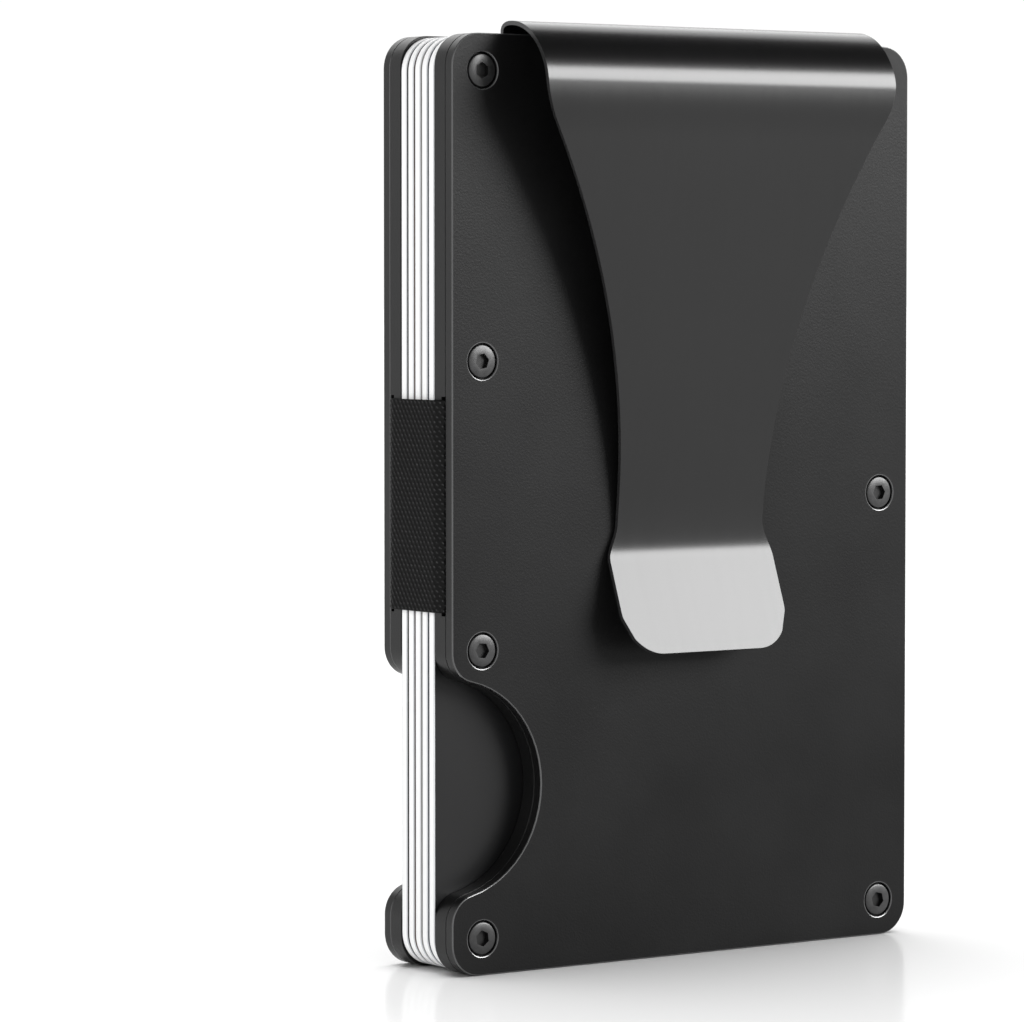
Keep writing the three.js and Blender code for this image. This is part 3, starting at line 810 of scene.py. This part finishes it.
def band(name, node, to_place, low_depth, high_depth, rise):
    """A woven band whose side view runs from low_depth to high_depth over the edge."""
    path = [Vector((low_depth, -leg_length)), Vector((low_depth, 0))]
    mid_low = Vector((low_depth + shoulder_length / 3, rise))
    mid_high = Vector((high_depth - shoulder_length / 3, rise))
    low_shoulder = Vector((low_depth + shoulder_length, rise))
    high_shoulder = Vector((high_depth - shoulder_length, rise))
    path += interpolate_bezier(
        path[-1], path[-1].lerp(mid_low, 2 / 3), low_shoulder.lerp(mid_low, 2 / 3),
        low_shoulder, 24)[1:]
    path.append(high_shoulder)
    end = Vector((high_depth, 0))
    path += interpolate_bezier(
        high_shoulder, high_shoulder.lerp(mid_high, 2 / 3), end.lerp(mid_high, 2 / 3),
        end, 24)[1:]
    path.append(Vector((high_depth, -leg_length)))
    path = [Vector((p.x, p.y)) for p in path]
    marks = [0.0]
    for a, b in zip(path, path[1:]):
        marks.append(marks[-1] + (b - a).length)
    bm = bmesh.new()
    bm.loops.layers.uv.new("UVMap")
    stitch_highlight = bm.verts.layers.float.new("stitch_highlight")
    bmesh.ops.create_grid(
        bm, x_segments=band_columns, y_segments=band_rows * rows_per_stitch, size=0.5,
        calc_uvs=True)
    for v in bm.verts:
        around, across = v.co.x + 0.5, v.co.y + 0.5
        distance = around * marks[-1]
        k = max(i for i, m in enumerate(marks) if m <= distance + 1e-12)
        k = min(k, len(path) - 2)
        share = (distance - marks[k]) / (marks[k + 1] - marks[k])
        place = path[k].lerp(path[k + 1], share)
        along = (path[k + 1] - path[k]).normalized()
        out = Vector((-along.y, along.x))
        row = across * band_rows
        number = math.floor(row)
        in_row = row - number
        phase = distance / stitch_length + 0.5 * (number % 2) - stitch_slant * in_row
        height = math.sin(math.pi * in_row) * (0.5 + 0.5 * math.cos(2 * math.pi * phase))
        hidden = place.y < -plain_below_edge
        # The height is kept for the finish, which paints the tops of the stitches lighter as a
        # painted highlight.
        v[stitch_highlight] = height
        place = place + out * (0 if hidden else (height - 1) * stitch_height)
        v.co = to_place(place.x, place.y, (across - 0.5) * band_width)
    bmesh.ops.recalc_face_normals(bm, faces=bm.faces)
    piece = as_piece(name, bm, elastic_finish)
    wall = piece.modifiers.new("band", "SOLIDIFY")
    wall.thickness = band_thickness
    wall.offset = 1
    settle(piece)
    piece.data.shade_smooth()
    measure(piece)
    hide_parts(node)
    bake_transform(piece)
    return piece


side_middle_z = (side_band_low.z + side_band_high.z) / 2
side_band = band(
    "side_band", "side_elastic",
    lambda depth, out, across: (outer_low.x - out, depth, side_middle_z + across),
    side_band_low.y, side_band_high.y, 0.62 * MM)
top_band = band(
    "top_band", "top_elastic",
    lambda depth, out, across: (middle_x + across, depth, plate_height + out),
    top_band_low.y, top_band_high.y, 0.95 * MM)

# %% [markdown]
# Five bank cards fill the wallet. A card starts as a cube scaled to size. Its four corners
# are rounded, then the rims of both faces get a tiny round, because punched plastic is
# never quite sharp. The cut edge and the printed faces get their own finishes.

# %% The cards
card_corner = 3.18 * MM
card_rim = 0.09 * MM
prints = [
    ((0.004, 0.004, 0.0042), (0.006, 0.006, 0.0064)),
    ((0.05, 0.06, 0.08), (0.10, 0.12, 0.15)),
    ((0.35, 0.34, 0.32), (0.5, 0.49, 0.47)),
    ((0.08, 0.05, 0.045), (0.16, 0.11, 0.09)),
    ((0.006, 0.006, 0.0064), (0.009, 0.009, 0.0095))]
for i, (dark, light) in enumerate(prints):
    low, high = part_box(f"card_{i + 1}")
    bm = box_shape(low, high)
    corners = [e for e in bm.edges if abs((e.verts[0].co - e.verts[1].co).y) > 0.1 * MM]
    bmesh.ops.bevel(
        bm, geom=corners, offset=card_corner, offset_type="OFFSET", affect="EDGES",
        segments=14, profile=0.5, material=-1)
    bm.normal_update()
    rims = [e for e in bm.edges if abs(e.calc_face_angle(0)) > 1.2]
    bmesh.ops.bevel(
        bm, geom=rims, offset=card_rim, offset_type="OFFSET", affect="EDGES",
        segments=3, profile=0.5, material=-1)
    bm.normal_update()
    for face in bm.faces:
        face.material_index = 1 if abs(face.normal.y) > 0.98 else 0
    card = as_piece(
        f"bank_card_{i + 1}", bm,
        card_edge(f"card_core_{i + 1}", low.y, high.y),
        card_print(f"card_print_{i + 1}", dark, light))
    smooth(card, 40)
    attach(card, f"card_{i + 1}")
    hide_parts(f"card_{i + 1}")
measure(card)

# %% [markdown]
# The wallet stands on a plain white sheet with a faint gloss, which gives the weak
# reflection under it. The sheet is one large quad, and its shader is mostly diffuse.

# %% The floor
bm = bmesh.new()
bmesh.ops.create_grid(bm, x_segments=1, y_segments=1, size=6)
bmesh.ops.translate(bm, vec=(0, 0, -0.02 * MM), verts=bm.verts)
floor_finish = bpy.data.materials.new("pale_floor")
floor_finish.use_nodes = True
nodes, links = floor_finish.node_tree.nodes, floor_finish.node_tree.links
nodes.remove(nodes["Principled BSDF"])
matte = nodes.new("ShaderNodeBsdfDiffuse")
matte.inputs["Color"].default_value = (0.86, 0.86, 0.86, 1)
gloss = nodes.new("ShaderNodeBsdfGlossy")
gloss.inputs["Color"].default_value = (1, 1, 1, 1)
gloss.inputs["Roughness"].default_value = 0.16
both = nodes.new("ShaderNodeMixShader")
both.inputs["Fac"].default_value = 0.2
links.new(matte.outputs["BSDF"], both.inputs[1])
links.new(gloss.outputs["BSDF"], both.inputs[2])
links.new(both.outputs["Shader"], nodes["Material Output"].inputs["Surface"])
floor = as_piece("floor", bm, floor_finish)

# %% [markdown]
# The light is a white room that is bright near the horizon and dark overhead, which draws
# the black band on the clip's curl. One large softbox stands to the front right and makes
# the curl's light band and the pale tip. A weaker one fills in from the left for the
# cards' edges, and one behind lights the top corners. The floor has its own wide soft lamp
# overhead, so that it stays white, and the softboxes leave it out.

# %% The surroundings
world = bpy.data.worlds.new("white_room")
bpy.context.scene.world = world
world.use_nodes = True
nodes, links = world.node_tree.nodes, world.node_tree.links
where = nodes.new("ShaderNodeTexCoord")
parts = nodes.new("ShaderNodeSeparateXYZ")
links.new(where.outputs["Generated"], parts.inputs["Vector"])
sky = ramp(nodes, links, parts.outputs["Z"], [
    (0.0, (1.03,) * 3), (0.28, (1.03,) * 3), (0.5, (0.75,) * 3), (0.66, (0.05,) * 3),
    (1.0, (0.04,) * 3)])
links.new(sky, nodes["Background"].inputs["Color"])
nodes["Background"].inputs["Strength"].default_value = 1.0


# %% The lamps
def softbox(name, direction, distance, size, radiance, aim):
    lamp = bpy.data.lights.new(name, "AREA")
    lamp.shape = "RECTANGLE"
    lamp.size, lamp.size_y = size
    lamp.energy = radiance * math.pi * size[0] * size[1]
    holder = bpy.data.objects.new(name, lamp)
    bpy.context.scene.collection.objects.link(holder)
    toward = Vector(direction).normalized()
    holder.location = Vector(aim) + toward * distance
    holder.rotation_mode = "QUATERNION"
    holder.rotation_quaternion = toward.to_track_quat("Z", "Y")
    return holder


only_floor = bpy.data.collections.new("only_floor")
only_floor.objects.link(floor)
not_floor = bpy.data.collections.new("not_floor")
not_floor.objects.link(floor)
not_floor.collection_objects[0].light_linking.link_state = "EXCLUDE"
aim = (middle_x, face_y, 40 * MM)
softboxes = (
    ("key_softbox", (0.617, -0.65, 0.36), 0.6, (0.42, 0.28), 18),
    ("fill_softbox", (-0.9, -0.38, 0.3), 0.7, (0.5, 0.5), 3.0),
    ("rim_softbox", (0.36, 0.66, 0.6), 0.7, (0.95, 0.36), 1.9))
for name, direction, distance, size, radiance in softboxes:
    lamp = softbox(name, direction, distance, size, radiance, aim)
    lamp.light_linking.receiver_collection = not_floor
print("softboxes", [setting[0] for setting in softboxes])
daylight = bpy.data.lights.new("floor_lamp", "SUN")
daylight.energy = 3.6
daylight.angle = math.radians(70)
overhead = bpy.data.objects.new("floor_lamp", daylight)
bpy.context.scene.collection.objects.link(overhead)
overhead.rotation_euler = (math.radians(-8), math.radians(4), 0)
overhead.light_linking.receiver_collection = only_floor

# %% [markdown]
# The camera has a long lens and stands well to the left of the front, looking slightly down,
# so the front face and the closed edge both show.

# %% The camera
camera_data = bpy.data.cameras.new("camera")
camera_data.sensor_width = 36
camera_data.lens = 171.2
camera_data.clip_start = 0.01
camera_data.clip_end = 20
camera = bpy.data.objects.new("camera", camera_data)
bpy.context.scene.collection.objects.link(camera)
yaw, pitch = math.radians(35.91), math.radians(-2.85)
camera.location = (-0.28086, -0.36301, 0.06463)
look = Vector((
    math.sin(yaw) * math.cos(pitch), math.cos(yaw) * math.cos(pitch), math.sin(pitch)))
camera.rotation_mode = "QUATERNION"
camera.rotation_quaternion = look.to_track_quat("-Z", "Y")
bpy.context.scene.camera = camera
bpy.context.scene.view_settings.view_transform = "Standard"
